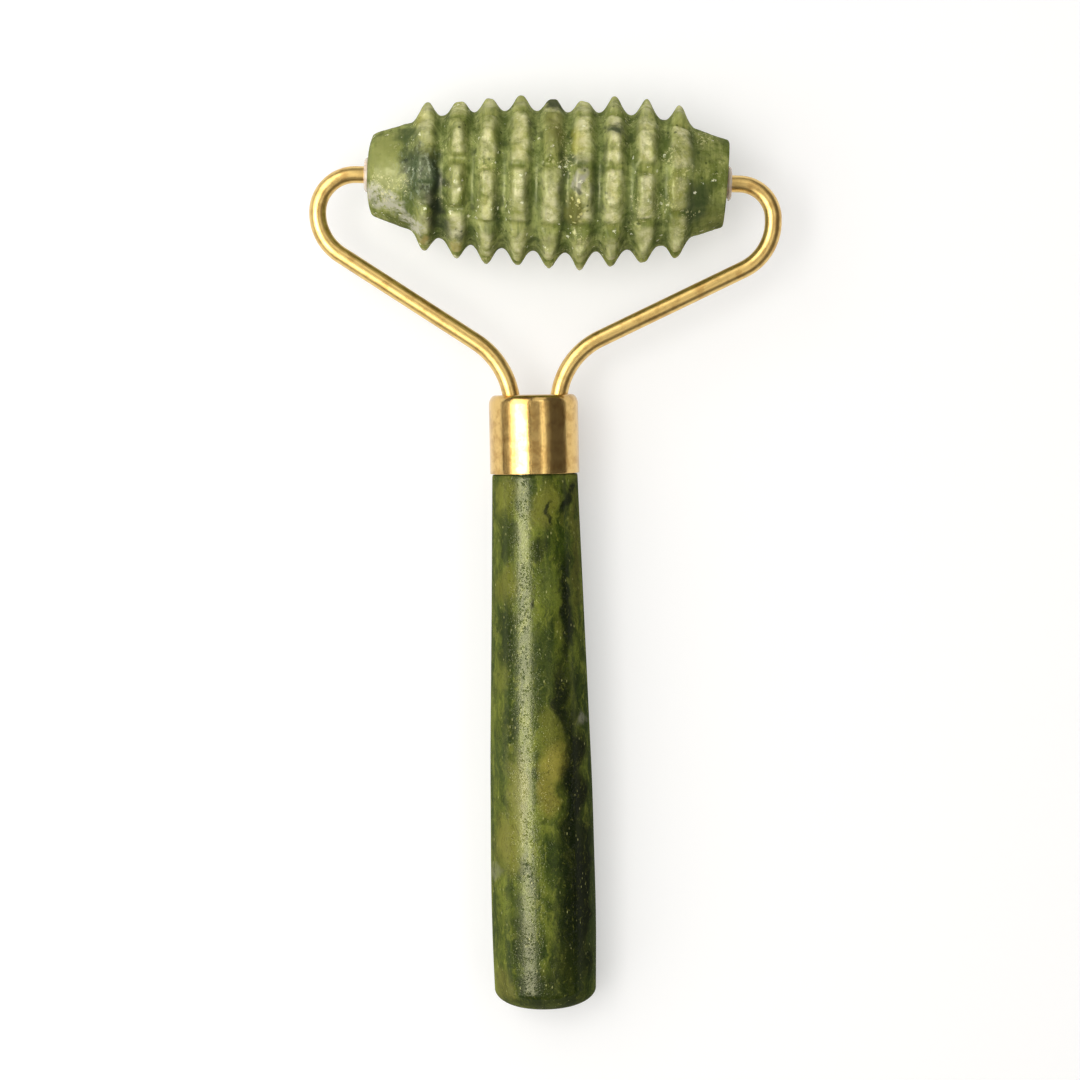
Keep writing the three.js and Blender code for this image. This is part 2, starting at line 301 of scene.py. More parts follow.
# Ellipsoid patches in the handle: centre and radii in HANDLE mm, strength, colour.
HANDLE_PATCHES = (
    ((-5.0, 84.4, 5), (2.2, 3.2, 4), 0.75, "72752d"),
    ((-4.7, 77.6, 5), (1.5, 4.2, 4), 0.8, "283512"),
    ((-5.2, 70.1, 5), (2.0, 2.8, 4), 0.7, "6b6d28"),
    ((-5.1, 63.7, 5), (1.5, 3.4, 4), 0.85, "232f0e"),
    ((1.6, 82.9, 7), (2.2, 3.2, 4), 0.8, "73752f"),
    ((4.8, 84.0, 5), (0.7, 4.0, 4), 0.7, "212911"),
    ((6.4, 76.0, 3), (0.8, 12.0, 4), 0.6, "5c5c26"),
    ((0.6, 75.5, 7), (1.2, 2.2, 3), 0.7, "1e280f"),
    ((1.9, 70.0, 7), (1.8, 3.4, 3), 0.45, "55622c"),
    ((4.6, 66.0, 6), (1.0, 8.0, 4), 0.9, "10170a"),
    ((-4.9, 58.9, 6), (1.4, 2.6, 4), 0.85, "222e0e"),
    ((-6.0, 54.5, 4), (1.6, 2.2, 3), 0.5, "6a6d2e"),
    ((-5.2, 46.5, 5), (1.7, 3.0, 4), 0.85, "273312"),
    ((-6.6, 41.0, 4), (1.6, 4.0, 4), 0.4, "404f27"),
    ((-3.8, 36.5, 6), (1.8, 6.0, 4), 0.7, "808042"),
    ((0.4, 56.5, 8), (2.0, 6.5, 4), 0.7, "33401a"),
    ((1.8, 46.0, 8), (2.0, 4.0, 4), 0.75, "686b2a"),
    ((2.4, 40.6, 8), (2.2, 2.8, 4), 0.95, "8e883b"),
    ((1.2, 35.6, 8), (1.4, 3.2, 4), 0.85, "7f7a33"),
    ((3.6, 51.5, 7), (1.0, 5.5, 4), 0.9, "11170b"),
    ((5.4, 38.5, 5), (1.9, 11.0, 5), 0.95, "0a1107"),
    ((6.9, 48.0, 4), (0.7, 1.3, 2), 0.7, "848472"),
    ((-5.4, 27.5, 5), (2.8, 4.6, 4), 0.85, "7b7b35"),
    ((-7.3, 22.9, 3), (1.2, 0.9, 2), 0.5, "8b8b72"),
    ((-4.2, 16.0, 6), (1.3, 4.5, 4), 0.6, "35421a"),
    ((-6.6, 4.0, 4), (2.6, 3.0, 3), 0.7, "65642e"),
    ((5.8, 19.0, 4), (3.3, 14.0, 6), 0.97, "0a1208"),
    ((3.6, 8.0, 5), (3.0, 8.0, 6), 0.8, "121d0b"),
    ((8.2, 16.0, 2), (0.9, 15.0, 3), 0.6, "3c4a22"),
    ((2.2, 82.5, 7), (0.35, 1.3, 3), 0.9, "161f0c"),
    ((2.6, 80.9, 7), (0.35, 1.0, 3), 0.9, "161f0c"),
    ((4.5, 83.1, 6), (0.6, 0.9, 3), 0.9, "141c0c"),
    ((5.3, 84.3, 5), (0.6, 0.9, 3), 0.9, "141c0c"),
    ((6.1, 85.5, 4), (0.5, 0.9, 3), 0.9, "141c0c"),
    ((-0.8, 66.8, 7), (0.35, 1.1, 3), 0.9, "1a240e"),
    ((0.5, 1.0, 3), (8.0, 1.6, 8), 0.45, "26300f"),
    # Partly painted shade: these two dark bands down the right side are partly a dark vein and
    # partly the shade of the side turned from the softbox.
    ((4.2, 54.0, 6), (1.8, 14.0, 6), 0.5, "1a2214"),
    ((4.0, 24.0, 6), (1.6, 18.0, 6), 0.5, "141c10"),
    # Painted shade: darker where the highlight fades towards the tail.
    ((-3.5, 11.5, 6), (1.8, 4.5, 5), 0.6, "222d12"),
    ((-0.7, 3.5, 7), (3.2, 3.4, 5), 0.65, "1e2811"),
)


def handle_jade():
    """Dark olive jade, polished, with lengthwise grain, clouds, veins and tiny pits, and some
    painted shade among its patches.
    """
    s = Surface("handle_jade", Subsurface_Weight=0.1, Subsurface_Scale=0.001, IOR=1.55)
    s.shader.inputs["Specular IOR Level"].default_value = 0.13
    s.shader.inputs["Subsurface Radius"].default_value = (0.7, 1.0, 0.35)
    s.shader.inputs["Specular Tint"].default_value = OILY
    ragged = s.shaken(0.0045, 260)
    lengthwise = s.stretch(s.here, (1, 0.3, 1))
    clouds = s.noise(260, 6, 0.65, lengthwise, 0.6)
    colour = s.mix(s.fit(clouds, 0.38, 0.62), paint("324114"), paint("667129"))
    mottle = s.noise(800, 5, 0.6, s.stretch(ragged, (1, 0.35, 1)))
    colour = s.mix(s.fit(mottle, 0.52, 0.66, 0.0, 0.45), colour, paint("868c38"))
    colour = s.mix(s.fit(mottle, 0.48, 0.34, 0.0, 0.5), colour, paint("1e2c0e"))
    colour = s.stain_and_shade(colour, HANDLE, HANDLE_PATCHES, ragged)
    grain = s.noise(2600, 5, 0.65, s.stretch(ragged, (1, 0.22, 1)))
    colour = s.mix(s.fit(grain, 0.55, 0.72, 0, 0.35), colour, paint("8c9040"))
    colour = s.mix(s.fit(grain, 0.47, 0.32, 0, 0.4), colour, paint("1b250d"))
    veins = s.noise(300, 5, 0.6, s.stretch(ragged, (1, 0.4, 1)), 1.5)
    vein = s.fit(s.math("ABSOLUTE", s.math("SUBTRACT", veins, 0.5)), 0.014, 0.0)
    colour = s.mix(s.math("MULTIPLY", vein, 0.45), colour, paint("10160a"))
    flecks = s.spots(1700, 0.2, s.stretch(s.here, (1, 0.4, 1)))
    sparse = s.math("MULTIPLY", flecks, s.fit(s.noise(300, 3, 0.5), 0.5, 0.62, 0.0, 0.7))
    colour = s.mix(sparse, colour, paint("b4b478"))
    s.set("Base Color", colour)
    pitted = s.fit(s.noise(400, 3, 0.6), 0.42, 0.56, 0.1, 0.8)
    small_pits = s.math("MULTIPLY", s.spots(2600, 0.46), pitted)
    large_pits = s.math("MULTIPLY", s.spots(900, 0.24), s.fit(s.noise(150, 2, 0.5), 0.46, 0.54))
    pits = s.math("MAXIMUM", small_pits, large_pits)
    polish = s.fit(s.noise(3000, 5, 0.7), 0.4, 0.62, 0.15, 0.34)
    s.set("Roughness", s.dull_rim(s.math("MAXIMUM", polish, s.math("MULTIPLY", pits, 0.6))))
    fine = s.bump(grain, 0.012, 0.3)
    s.bump(s.math("SUBTRACT", 1.0, pits), 0.055, 0.7, fine)
    return s.material


# The same for the roller, in ROLLER mm. Y grows towards the head side.
ROLLER_PATCHES = (
    ((-21.2, 0.8, 11), (3.2, 3.8, 6), 0.8, "2f3e28"),
    ((-18.4, -3.5, 11), (1.4, 7.0, 6), 0.95, "162117"),
    ((-15.2, -9.0, 8), (2.6, 1.5, 4), 0.85, "25341f"),
    ((-20.0, -11.0, 7), (2.0, 1.6, 4), 0.5, "3c3c1c"),
    ((-25.6, -8.0, 3), (4.5, 1.1, 4), 0.85, "55602a"),
    ((-23.6, 6.6, 6), (2.2, 1.9, 4), 0.7, "3f4e2b"),
    ((-8.2, -4.2, 9), (0.9, 3.4, 4), 0.7, "2e3e1c"),
    ((-9.0, -8.5, 9), (1.2, 2.5, 4), 0.45, "3d4d24"),
    ((-3.2, -4.0, 11), (0.9, 5.0, 4), 0.4, "3b4b22"),
    ((2.6, -3.0, 12), (0.8, 8, 4), 0.7, "2b3a1b"),
    ((5.2, 2.6, 13), (2.0, 1.0, 3), 0.75, "3b4a30"),
    ((7.9, -3.5, 12), (0.8, 6, 4), 0.6, "2c3c1a"),
    ((13.4, -6.5, 10), (1.0, 4.0, 4), 0.5, "33431f"),
    ((24.0, -3.8, 8), (2.4, 3.6, 5), 0.8, "2c3d22"),
    ((23.5, 4.8, 7), (1.8, 3.4, 4), 0.6, "425026"),
    ((27.5, -6.4, 6), (2.4, 2.0, 4), 0.5, "646a30"),
    ((1.2, 9.6, 10), (1.4, 3.6, 4), 0.6, "7b7a3c"),
    ((5.0, 6.6, 12), (1.4, 2.6, 3), 0.6, "a7a23c"),
    ((-26.8, 2.5, 7), (2.6, 5.4, 5), 0.8, "8b9152"),
    ((-21.5, 10.5, 6), (1.2, 2.2, 4), 0.5, "a49f4c"),
)
OVER_WEAR_PATCHES = (  # stains that also cover the pale worn tips
    ((0.6, 13.0, 4), (1.7, 1.5, 6), 0.9, "29341e"),
    ((4.4, -5.3, 12), (1.4, 2.6, 4), 0.9, "62642a"),
    ((-20.8, -0.5, 12), (2.0, 4.0, 4), 0.75, "4a5a3c"),
    ((10.3, 8.2, 10), (1.3, 1.1, 4), 0.9, "37432f"),
    ((5.3, -0.5, 13), (0.8, 1.7, 2), 0.9, "aaa89b"),
    ((5.5, -2.2, 13), (0.5, 0.5, 1), 0.8, "4a5038"),
    ((0.0, 9.0, 12), (1.3, 4.4, 4), 0.75, "6f7238"),
    ((20.8, -2.5, 12), (1.0, 3.5, 4), 0.5, "8e9140"),
    ((-20.0, -11.2, 6), (1.0, 1.2, 3), 0.6, "a38f45"),
    ((-14.8, -12.0, 6), (1.2, 1.2, 3), 0.6, "a5964e"),
)
CHALK = (  # a whitish seam that runs from the left end tailward to the first ring
    ((-28.4, -2.6, 6), (1.6, 1.5, 4)),
    ((-26.4, -4.2, 6), (1.9, 1.6, 4)),
    ((-24.6, -5.6, 6), (1.5, 1.2, 4)),
    ((-22.8, -7.2, 6), (1.5, 0.8, 4)),
    ((-21.2, -8.6, 6), (1.4, 0.8, 4)),
)

SCRATCHED = ((-21.6, 0.6, 10), (3.2, 5.0, 5))  # the first ring's left side
GOLD_CLUSTER = ((4.4, -5.3, 12), (1.4, 2.6, 4))


def roller_jade():
    """Paler jade, left from the grinding wheel: pale worn tips with a painted sheen across their
    middles, valleys darkened partly by painted shade, flecks.
    """
    s = Surface("roller_jade", Subsurface_Weight=0.25, Subsurface_Scale=0.0007, IOR=1.5)
    s.shader.inputs["Subsurface Radius"].default_value = (0.8, 1.0, 0.4)
    s.shader.inputs["Specular Tint"].default_value = OILY
    s.shader.inputs["Specular IOR Level"].default_value = 0.2
    relief = s.read("relief")
    wear_and_sheen = s.read("wear_and_sheen")
    ragged = s.shaken(0.005, 300)
    clouds = s.noise(240, 6, 0.65, None, 0.8)
    # Valleys are darker than the flanks: partly the stone's own tone, partly painted shade in the
    # hollows between the rings.
    valley_tone_and_shade = s.mix(s.fit(clouds, 0.38, 0.62), paint("56642d"), paint("929c5b"))
    flank = s.mix(s.fit(clouds, 0.36, 0.62), paint("6f7a37"), paint("9a9f5a"))
    tip = s.mix(s.fit(clouds, 0.3, 0.6), paint("c6c57e"), paint("eeebc2"))
    tip = s.mix(s.fit(s.noise(620, 5, 0.65), 0.46, 0.64, 0.0, 0.6), tip, paint("a9ad5c"))
    colour = s.mix(s.fit(relief, 0.0, 0.6), valley_tone_and_shade, flank)
    lines = s.noise(1600, 4, 0.6, s.stretch(s.here, (1, 0.12, 0.12)))
    colour = s.mix(s.fit(lines, 0.44, 0.66, 0.0, 0.5), colour, paint("4f5e28"))
    colour = s.mix(s.fit(lines, 0.46, 0.3, 0.0, 0.4), colour, paint("a9ae6e"))
    mottle = s.noise(1100, 5, 0.7)
    colour = s.mix(s.fit(mottle, 0.48, 0.36, 0.0, 0.5), colour, paint("3c4a1e"))
    # Painted shade: dark clouds laid only in the valleys, darkest at their floors.
    painted_valley_shade = s.fit(s.noise(330, 5, 0.65), 0.5, 0.64, 0.0, 0.6)
    colour = s.mix(s.math("MULTIPLY", painted_valley_shade, s.fit(relief, 0.7, 0.1)), colour, paint("2c3a1a"))
    colour = s.stain_and_shade(colour, ROLLER, ROLLER_PATCHES, ragged)
    # The pale tips are wear, brightened across each land's middle by a painted sheen.
    worn_and_sheen = s.math("MULTIPLY", wear_and_sheen, s.fit(s.noise(420, 6, 0.7), 0.36, 0.56, 0.3, 1.0))
    colour = s.mix(worn_and_sheen, colour, tip)
    colour = s.stain_and_shade(colour, ROLLER, OVER_WEAR_PATCHES, ragged)
    seam = 0.0
    for centre, radii in CHALK:
        seam = s.math("MAXIMUM", seam, s.patch(ROLLER, centre, radii, ragged, 0.4))
    speckled = s.math("MULTIPLY", seam, s.fit(s.noise(900, 5, 0.7), 0.36, 0.54))
    colour = s.mix(s.math("MULTIPLY", speckled, 0.85), colour, paint("bfbeae"))
    scratched = s.patch(ROLLER, *SCRATCHED, ragged, 0.6)
    blotch = s.fit(s.noise(1300, 6, 0.75, s.stretch(s.here, (1, 0.5, 0.5))), 0.52, 0.62)
    scratches = s.math("MULTIPLY", scratched, blotch)
    colour = s.mix(s.math("MULTIPLY", scratches, 0.65), colour, paint("98a58c"))
    gouges = s.fit(s.noise(1500, 5, 0.7, s.stretch(s.here, (1, 0.7, 0.7))), 0.47, 0.38, 0.0, 0.7)
    colour = s.mix(s.math("MULTIPLY", scratched, gouges), colour, paint("18221a"))
    dark = s.math("MULTIPLY", s.spots(620, 0.22), s.fit(s.noise(140, 2, 0.5), 0.5, 0.62))
    colour = s.mix(s.math("MULTIPLY", dark, 0.7), colour, paint("2a381c"))
    clusters = s.fit(s.noise(170, 3, 0.5), 0.52, 0.62)
    crumbled = s.shaken(0.0007, 2200)
    coarse = s.spots(900, 0.3, crumbled)
    all_flecks = s.math("MAXIMUM", coarse, s.spots(2400, 0.34, crumbled))
    flecks = s.math("MULTIPLY", all_flecks, clusters)
    colour = s.mix(s.math("MULTIPLY", flecks, 0.6), colour, paint("d8d69c"))
    sparks = s.spots(720, 0.22, s.shaken(0.0012, 2600))
    rare = s.math("MULTIPLY", sparks, s.fit(s.noise(260, 2, 0.5), 0.53, 0.59))
    colour = s.mix(s.math("MULTIPLY", rare, 0.75), colour, paint("eef0d2"))
    gold = s.patch(ROLLER, *GOLD_CLUSTER, ragged, 0.4)
    grains = s.math("MULTIPLY", gold, s.spots(1100, 0.42, crumbled))
    colour = s.mix(s.math("MULTIPLY", grains, 0.85), colour, paint("dad690"))
    s.set("Base Color", colour)
    s.set("Roughness", s.dull_rim(s.fit(s.noise(600, 4, 0.6), 0.3, 0.7, 0.3, 0.5)))
    fine = s.bump(lines, 0.05, 0.5)
    s.bump(s.math("MULTIPLY", mottle, s.fit(scratched, 0.0, 1.0, 1.0, 2.5)), 0.12, 0.6, fine)
    return s.material


def brass(name, colour_code, dark_code, roughness, grain_vector):
    """Polished yellow metal with fine lengthwise lines, stains and small dents."""
    s = Surface(name, Metallic=1.0)
    place = s.read_vector(grain_vector)
    stains = s.noise(0.45, 6, 0.7, place)
    colour = s.mix(s.fit(stains, 0.42, 0.66, 0.0, 0.75), paint(colour_code), paint(dark_code))
    s.set("Base Color", colour)
    lines = s.noise(5.0, 4, 0.6, s.stretch(place, (1, 1, 0.05)))
    low, high = roughness
    s.set("Roughness", s.fit(lines, 0.35, 0.7, low, high))
    fine = s.bump(lines, 0.006, 0.4)
    s.bump(s.noise(1.1, 3, 0.5, place), 0.05, 0.25, fine)
    return s.material


def clear_plastic():
    """Clear moulded plastic, a little pink and cloudy."""
    s = Surface("bush_plastic", Transmission_Weight=0.12, Subsurface_Weight=0.6, IOR=1.45)
    s.shader.inputs["Subsurface Scale"].default_value = 0.001
    s.shader.inputs["Subsurface Radius"].default_value = (1, 0.9, 0.8)
    cloud = s.noise(900, 4, 0.6)
    s.set("Base Color", s.mix(s.fit(cloud, 0.3, 0.7), paint("fdeee2"), paint("f0d3bf")))
    s.set("Roughness", s.fit(cloud, 0.3, 0.7, 0.12, 0.3))
    s.bump(s.noise(1800, 3, 0.5), 0.02, 0.3)
    return s.material


def adhesive():
    """Amber epoxy with cloudy swirls."""
    s = Surface("adhesive", Subsurface_Weight=0.2, Subsurface_Scale=0.002)
    swirl = s.noise(500, 5, 0.6, None, 1.2)
    s.set("Base Color", s.mix(s.fit(swirl, 0.3, 0.7), paint("a58a4a"), paint("d2c08c")))
    s.set("Roughness", s.fit(swirl, 0.3, 0.7, 0.2, 0.45))
    s.bump(s.noise(1400, 4, 0.6), 0.03, 0.4)
    return s.material


# ---- Handle -------------------------------------------------------------------------

HANDLE_SIDES = 180
SHOULDER = 87.9  # just under the ferrule's lip
SHOULDER_RADIUS = 7.02
SPIGOT_RADIUS = 6.55  # the spigot is the part inside the ferrule
SPIGOT_TOP = 97
SPIGOT_BEVEL = 0.3
COUNTERSINK_RADIUS = 5.6
COUNTERSINK_END = 91
HOLE_RADIUS = 4.4
HOLE_END = 76
TAIL_END = -0.4  # the tail stands this far past the CAD's tail face
TAIL_FACE_RADIUS = 1.5
TAIL_ROUNDING = 3.4
BODY_STATIONS = (  # place along the axis and radius, from the tail's rounding to the shoulder
    (TAIL_END + TAIL_ROUNDING, 8.37),
    (6, 8.48),
    (18, 8.65),
    (37, 8.42),
    (SHOULDER, SHOULDER_RADIUS),
)
BODY_SAMPLES = 180
BODY_SOFTNESS = 15  # samples on each side that are averaged
POLISH_WAVE = 0.05  # how far the hand-polished surface wanders
POLISH_SCALE = 9
POLISH_START = 3  # the tail's round end stays true
POLISH_FADE = 8


def handle_outline():
    """Tail to shoulder as one soft curve, then the spigot and the drilled hole."""
    places, radii = np.array(BODY_STATIONS).T
    along = np.linspace(places[0], places[-1], BODY_SAMPLES)
    straight = np.interp(along, places, radii)
    window = np.ones(2 * BODY_SOFTNESS + 1) / (2 * BODY_SOFTNESS + 1)
    padded = np.pad(straight, BODY_SOFTNESS, mode="reflect", reflect_type="odd")
    radius = np.convolve(padded, window, mode="valid")
    body = list(zip(radius, along))
    body[-1] = (SHOULDER_RADIUS - 0.12, SHOULDER)  # the shoulder's broken edge
    body.insert(-1, (SHOULDER_RADIUS - 0.02, SHOULDER - 0.1))
    centre = (TAIL_FACE_RADIUS, TAIL_END + TAIL_ROUNDING)
    dome = arc(centre, (radius[0] - TAIL_FACE_RADIUS, TAIL_ROUNDING), -90, 0, 32)[:-1]
    face = [(r, TAIL_END) for r in np.linspace(0, TAIL_FACE_RADIUS, 4)][:-1]
    inside = [
        (SPIGOT_RADIUS, SHOULDER),
        (SPIGOT_RADIUS, SPIGOT_TOP - SPIGOT_BEVEL),
        (SPIGOT_RADIUS - SPIGOT_BEVEL, SPIGOT_TOP),
        (COUNTERSINK_RADIUS, SPIGOT_TOP),
        (HOLE_RADIUS, COUNTERSINK_END),
        (HOLE_RADIUS, HOLE_END),
        (0, HOLE_END),
    ]
    return [*face, *dome, *body, *inside]


def make_handle():
    """The turned and polished handle, wandering a little from its true shape."""
    points, faces = turned(handle_outline(), HANDLE_SIDES)
    points = np.array(points)
    radius = np.hypot(points[:, 0], points[:, 2])
    fade_in = np.clip((points[:, 1] - POLISH_START) / POLISH_FADE, 0, 1)
    seen = fade_in * (points[:, 1] < SHOULDER - 0.5)
    push = POLISH_WAVE * wave(points * (1, 0.5, 1), POLISH_SCALE, seed=3)
    away = push / np.maximum(radius, 1) * seen
    points[:, 0] *= 1 + away
    points[:, 2] *= 1 + away
    piece = new_piece(
        "jade_handle", points, faces, HANDLE, FRAME_BODY, "handle", 50
    )
    piece.data.materials.append(handle_jade())


# ---- Wire arms and ferrule ----------------------------------------------------------

WIRE_RADIUS = 1.4
WIRE_SIDES = 32
WIRE_BEVEL = 0.3
BEND_STEP = 4  # degrees between the rings of a bend
AXLE_IN_STONE = 9
HALF_STONE = 29.6
LEG_TURN = 91  # from here the legs run parallel to the handle
LEG_END = 78
ARMS = {  # axle corner along the roller's axis, its bend, then X, Y and bend of each corner
    "left_arm": (-37.88, 6.2, [(-34.85, 127.1, 8.2), (-4.86, 106.9, 13.1), (-1.57, LEG_TURN, 10)]),
    "right_arm": (37.04, 5.7, [(39.92, 123.1, 8.7), (5.78, 107.5, 12), (1.94, LEG_TURN, 10)]),
}


def on_roller_axis(distance):
    """A point of the roller's axis in HANDLE millimetres."""
    return (HANDLE.inverted() @ ROLLER @ Vector((distance, 0, 0))).to_2d()


def bend(before, corner, after, radius):
    """Points of the arc that rounds a corner."""
    inward = (corner - before).normalized()
    outward = (after - corner).normalized()
    turn = math.atan2(inward.x * outward.y - inward.y * outward.x, inward.dot(outward))
    side = math.copysign(1, turn)
    start = corner - inward * (radius * math.tan(abs(turn) / 2))
    centre = start + Vector((-inward.y, inward.x)) * (side * radius)
    steps = math.ceil(math.degrees(abs(turn)) / BEND_STEP)
    arm = start - centre
    angles = [turn * i / steps for i in range(steps + 1)]
    return [centre + Matrix.Rotation(a, 2) @ arm for a in angles]


def arm_route(name):
    """Centre line of an arm, from its axle's end in the stone to its leg's end."""
    axle_corner, axle_bend, corners = ARMS[name]
    side = math.copysign(1, axle_corner)
    start = on_roller_axis(side * (HALF_STONE - AXLE_IN_STONE))
    stops = [(on_roller_axis(axle_corner), axle_bend)]
    stops += [(Vector(corner[:2]), corner[2]) for corner in corners]
    end = Vector((corners[-1][0], LEG_END))
    places = [start, *(stop[0] for stop in stops), end]
    route = [start]
    for i, (corner, radius) in enumerate(stops):
        route += bend(places[i], corner, places[i + 2], radius)
    return [*route, end]


def tube(route, radius, sides, end_bevel):
    """A closed tube along a flat route, with its grain place at every point."""
    points, grain = [], []
    travelled = 0
    last = len(route) - 1
    for i, here in enumerate(route):
        forward = (route[min(i + 1, last)] - route[max(i - 1, 0)]).normalized()
        right = Vector((-forward.y, forward.x))
        travelled += (here - route[i - 1]).length if i else 0
        rings = [(0, radius)]
        if i in (0, last):
            nose = -1 if i == 0 else 1
            rings = [(0, radius - end_bevel), (-nose * end_bevel, radius)]
            rings = rings if i == 0 else rings[::-1]
        for shift, size in rings:
            for j in range(sides):
                angle = 2 * math.pi * j / sides
                flat = here + forward * shift + right * (size * math.cos(angle))
                points.append((flat.x, flat.y, size * math.sin(angle)))
                across = (radius * math.cos(angle), radius * math.sin(angle))
                grain.append((*across, travelled + shift))
    rows = len(points) // sides
    faces = grid_faces(rows, sides, close_rows=False)
    faces = [face[::-1] for face in faces]
    faces.append(tuple(range(sides)))
    faces.append(tuple(range((rows - 1) * sides, rows * sides))[::-1])
    return points, faces, grain


def store_vector(piece, name, values):
    """Keeps one vector per vertex on the mesh, for the material to read."""
    flat = [number for vector in values for number in vector]
    piece.data.attributes.new(name, "FLOAT_VECTOR", "POINT").data.foreach_set("vector", flat)


def make_arms():
    """Both wires. Each is one length, from its axle in the stone to its leg in the handle."""
    metal = brass("wire_metal", "e8c880", "c29a5a", (0.3, 0.38), "grain")
    for name in ARMS:
        points, faces, grain = tube(arm_route(name), WIRE_RADIUS, WIRE_SIDES, WIRE_BEVEL)
        piece = new_piece(
            f"{name}_wire", points, faces, HANDLE, FRAME_BODY, name, 60
        )
        store_vector(piece, "grain", grain)
        piece.data.materials.append(metal)


FERRULE_SIDES = 192
FERRULE_RADIUS = 7.35
FERRULE_BORE = 7.05
FERRULE_TOP = 101
FERRULE_TOP_WALL = 0.8
FERRULE_LIP = 88.05
LIP_ROUNDING = (0.13, 0.1)  # across and along
TOP_ROUNDING = (1.05, 1.7)
WIRE_HOLE_GAP = 0.22
WIRE_HOLE_SIDES = 40
WIRE_HOLE_BEVEL = 0.1


def make_ferrule():
    """A drawn cup: thin wall, rounded top edge, two holes for the wire."""
    ceiling = FERRULE_TOP - FERRULE_TOP_WALL
    lip = (FERRULE_RADIUS - LIP_ROUNDING[0], FERRULE_LIP + LIP_ROUNDING[1])
    top = (FERRULE_RADIUS - TOP_ROUNDING[0], FERRULE_TOP - TOP_ROUNDING[1])
    outline = [
        (0, ceiling),
        (FERRULE_BORE - 1, ceiling),
        (FERRULE_BORE, ceiling - 1),
        *((FERRULE_BORE, y) for y in np.linspace(FERRULE_TOP - 3, lip[1], 8)),
        *arc(lip, LIP_ROUNDING, -180, 0, 8),
        *((FERRULE_RADIUS, y) for y in np.linspace(FERRULE_LIP + 0.8, FERRULE_TOP - 2, 16)),
        *arc(top, TOP_ROUNDING, 0, 90, 14),
        (FERRULE_RADIUS - 2, FERRULE_TOP),
        (0, FERRULE_TOP),
    ]
    points, faces = turned(outline, FERRULE_SIDES)
    piece = new_piece(
        "brass_ferrule", points, faces, HANDLE, FRAME_BODY, "ferrule", 40
    )
    for name in ARMS:
        cut_hole(piece, name)
    to_handle = HANDLE.inverted()
    local = [to_handle @ v.co for v in piece.data.vertices]
    store_vector(piece, "grain", [(p.x, p.z, p.y) for p in local])
    metal = brass("ferrule_metal", "debc78", "b88f4f", (0.15, 0.25), "grain")
    piece.data.materials.clear()
    piece.data.materials.append(metal)


def cut_hole(piece, arm_name):
    """Cuts the ferrule's hole for one leg with a fatter copy of that arm's wire."""
    radius = WIRE_RADIUS + WIRE_HOLE_GAP
    points, faces, _ = tube(arm_route(arm_name), radius, WIRE_HOLE_SIDES, WIRE_HOLE_BEVEL)
    mesh = bpy.data.meshes.new("cutter")
    mesh.from_pydata([HANDLE @ Vector(p) for p in points], [], faces)
    cutter = bpy.data.objects.new("cutter", mesh)
    bpy.context.collection.objects.link(cutter)
    modifier = piece.modifiers.new("hole", "BOOLEAN")
    modifier.object = cutter
    modifier.solver = "EXACT"
    with bpy.context.temp_override(object=piece, active_object=piece):
        bpy.ops.object.modifier_apply(modifier="hole")
    bpy.data.objects.remove(cutter)
    bpy.data.meshes.remove(mesh)


# ---- Roller -------------------------------------------------------------------------

ROLLER_SIDES = 288
RING_COUNT = 9
RING_PITCH = 5.2
RING_OFFSET = 0.5  # of the middle ring, to the right of the stone's middle
RING_SHIFT = (0.2, 0.3, 0.05, 0, 0, -0.1, -0.25, -0.2, 0.1)  # hand-ground, so uneven
RING_DROP = (0, 0.1, 0.3, 0.2, 0.5, 0.45, 0.2, 0.2, 0)  # each ring stands off this far tailward
CROWN_OFFSET = 1.5  # place of the barrel's thickest point
VALLEY_CROWN = 11.45  # valley radius at the crown
BARREL_DROP = 0.058  # radius lost one pitch away from the crown
BARREL_POWER = 2.5
RIDGE_HEIGHT = 3.05
RIDGE_LAND = 0.35  # half width of the untouched ridge's top
RIDGE_REACH = 2.35  # from the ridge's middle to its foot
RIDGE_POWER = 1.55  # above 1 the flanks are hollow
BORE_RADIUS = 2.6
FACETS = 16  # two to each length between notches
FACET_LEAN = (-0.25, 0.12)  # slope along the roller's axis
FACET_TURN = (-11, 11)  # degrees
FIRST_NOTCH = -58  # degrees
EDGE_SCATTER = 2.2  # degrees
WIDE_NOTCH = 2  # the facet that starts at the wide notch
LOWER_NOTCH = 4  # the facet that starts at the next notch tailward
TOP_FACETS = 5  # the first five facets face up
HEAD_FACET = 14  # stands at the head silhouette
WORN_NOTCHES = 0.4  # how much shallower the first ring's notches are, in ridge heights
# Angle and half width of each ring's wide notch, and the angle of the notch tailward of it.
WIDE_NOTCHES = (
    (-13, 0.6), (-12, 0.5), (-8, 0.65), (-8, 0.4), (-9, 0.4),
    (-9, 0.3), (-8, 0.3), (-8, 0.6), (-6, 0.5),
)
LOWER_NOTCHES = (27, 28, 38, 38, 39, 39, 38, 35, 29)
# Land widths of the five facets that face up, from the head side to the tail side.
TOP_LANDS = (
    (2.4, 2.2, 2.8, 2.4, 1.5),
    (1.4, 1.7, 1.4, 1.6, 2.2),
    (1.7, 2.2, 1.7, 1.9, 1.8),
    (2.2, 2.7, 1.8, 2.4, 2.1),
    (1.9, 1.3, 2.3, 2.6, 2.1),
    (2.2, 2.7, 2.3, 2.5, 1.9),
    (2.0, 1.9, 2.6, 2.3, 1.6),
    (2.6, 2.5, 1.9, 2.1, 2.2),
    (2.3, 3.0, 2.6, 2.3, 2.4),
)
